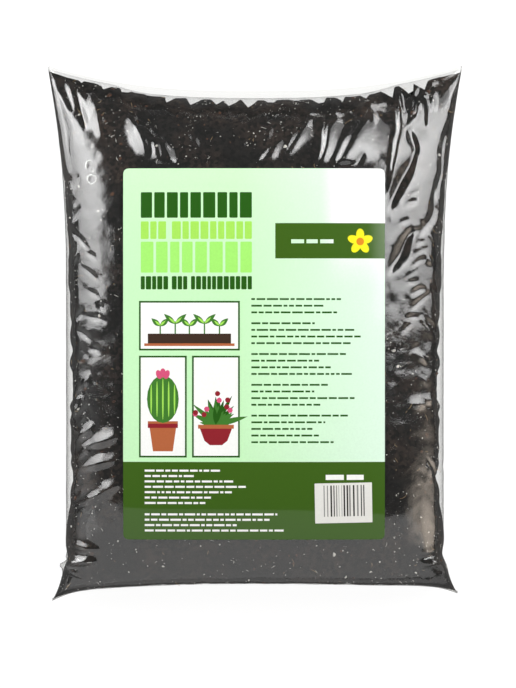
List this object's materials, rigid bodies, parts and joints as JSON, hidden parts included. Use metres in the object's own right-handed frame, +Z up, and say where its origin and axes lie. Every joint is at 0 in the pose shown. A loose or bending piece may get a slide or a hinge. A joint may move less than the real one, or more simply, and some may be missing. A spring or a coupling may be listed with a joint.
{
  "type": "compost bag",
  "caption": "Clear film pillow bag of dark potting compost, welded across both ends, with a label and a small barcode sticker, lying on its back.",
  "frame": {"origin": "centre of the bounding box in plan, at the height of the flat back it lies on", "axes": "+Z up out of the labelled front, +Y along the bag towards the end with the label's heading, +X to the right when reading the label"},
  "size_m": [0.2368, 0.3064, 0.0556],
  "materials": {
    "clear_film": "clear glossy polyethylene film",
    "compost": "loose dark peat compost with pale specks",
    "label_sheet": "glossy printed adhesive sheet",
    "sticker_sheet": "white satin adhesive sheet"
  },
  "bodies": {
    "root": {"film_bag": "clear_film", "compost": "compost", "label": "label_sheet", "barcode_sticker": "sticker_sheet"}
  },
  "joints": []
}
